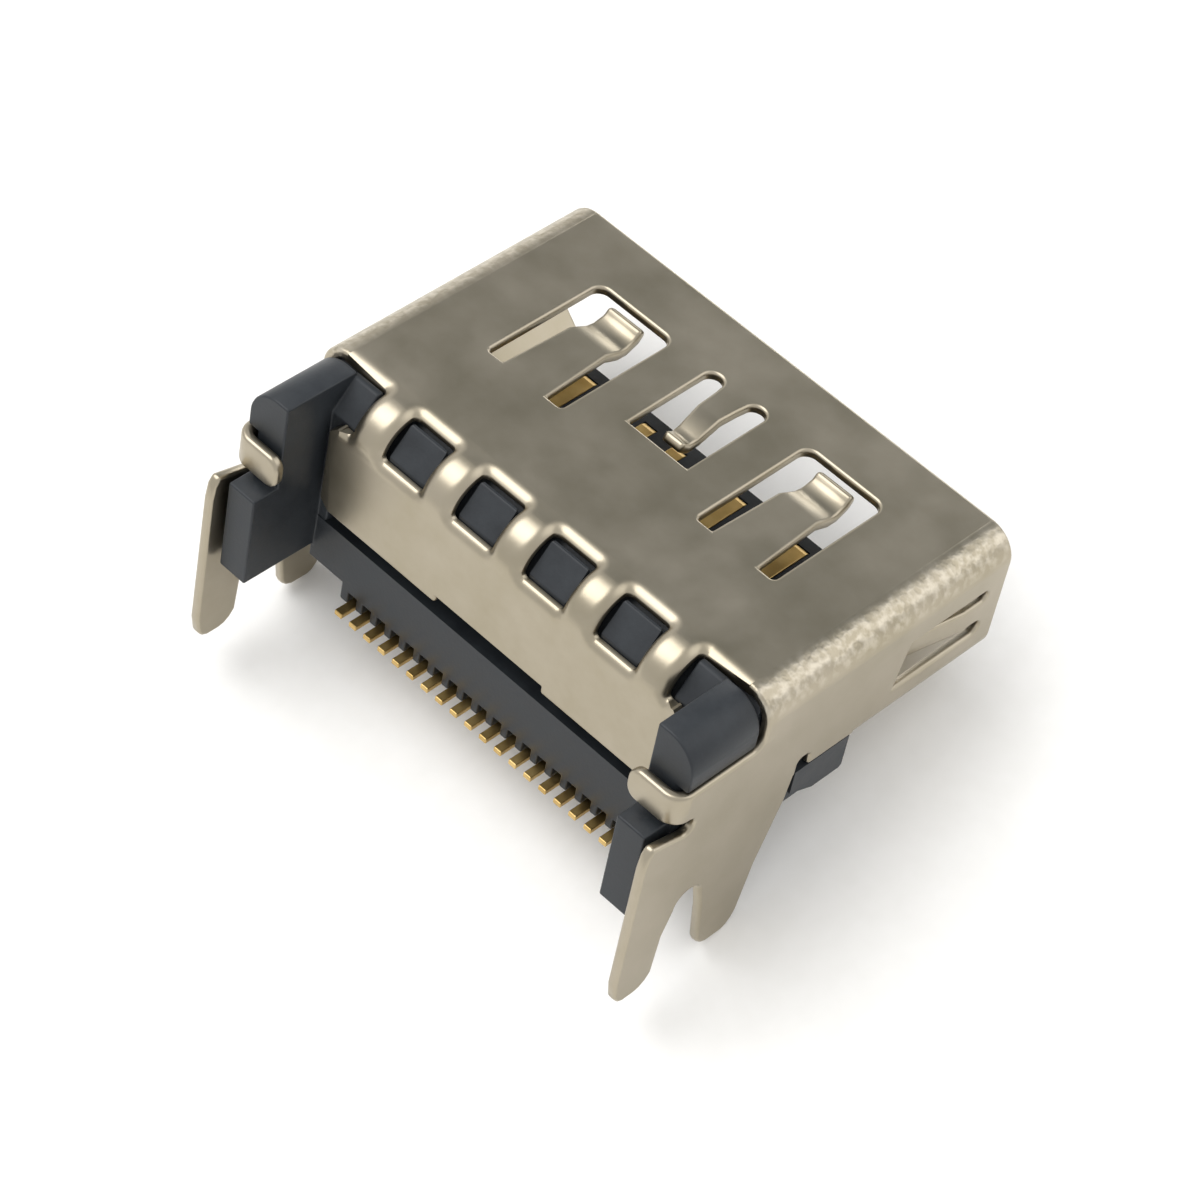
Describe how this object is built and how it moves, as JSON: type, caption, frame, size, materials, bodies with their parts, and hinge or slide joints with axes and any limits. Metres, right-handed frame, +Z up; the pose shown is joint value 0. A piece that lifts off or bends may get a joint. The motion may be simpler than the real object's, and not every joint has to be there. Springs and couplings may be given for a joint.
{
  "type": "hdmi socket",
  "caption": "Right-angle board-mount HDMI socket: folded plated shell with spring leaves, hooks and solder legs round a black housing with a tongue of gold contacts.",
  "frame": {"origin": "on the board face, in the middle plane, at the row of the front legs", "axes": "+X across the socket, -Y out of the mating face, +Z up from the board"},
  "size_m": [0.0146, 0.0118, 0.0081],
  "materials": {
    "plated_steel": "satin",
    "black_plastic": "matte",
    "gold_plate": "polished"
  },
  "bodies": {
    "root": {"shell": "plated_steel", "housing": "black_plastic", "contact_01": "gold_plate", "contact_02": "gold_plate", "contact_03": "gold_plate", "contact_04": "gold_plate", "contact_05": "gold_plate", "contact_06": "gold_plate", "contact_07": "gold_plate", "contact_08": "gold_plate", "contact_09": "gold_plate", "contact_10": "gold_plate", "contact_11": "gold_plate", "contact_12": "gold_plate", "contact_13": "gold_plate", "contact_14": "gold_plate", "contact_15": "gold_plate", "contact_16": "gold_plate", "contact_17": "gold_plate", "contact_18": "gold_plate", "contact_19": "gold_plate"}
  },
  "joints": []
}
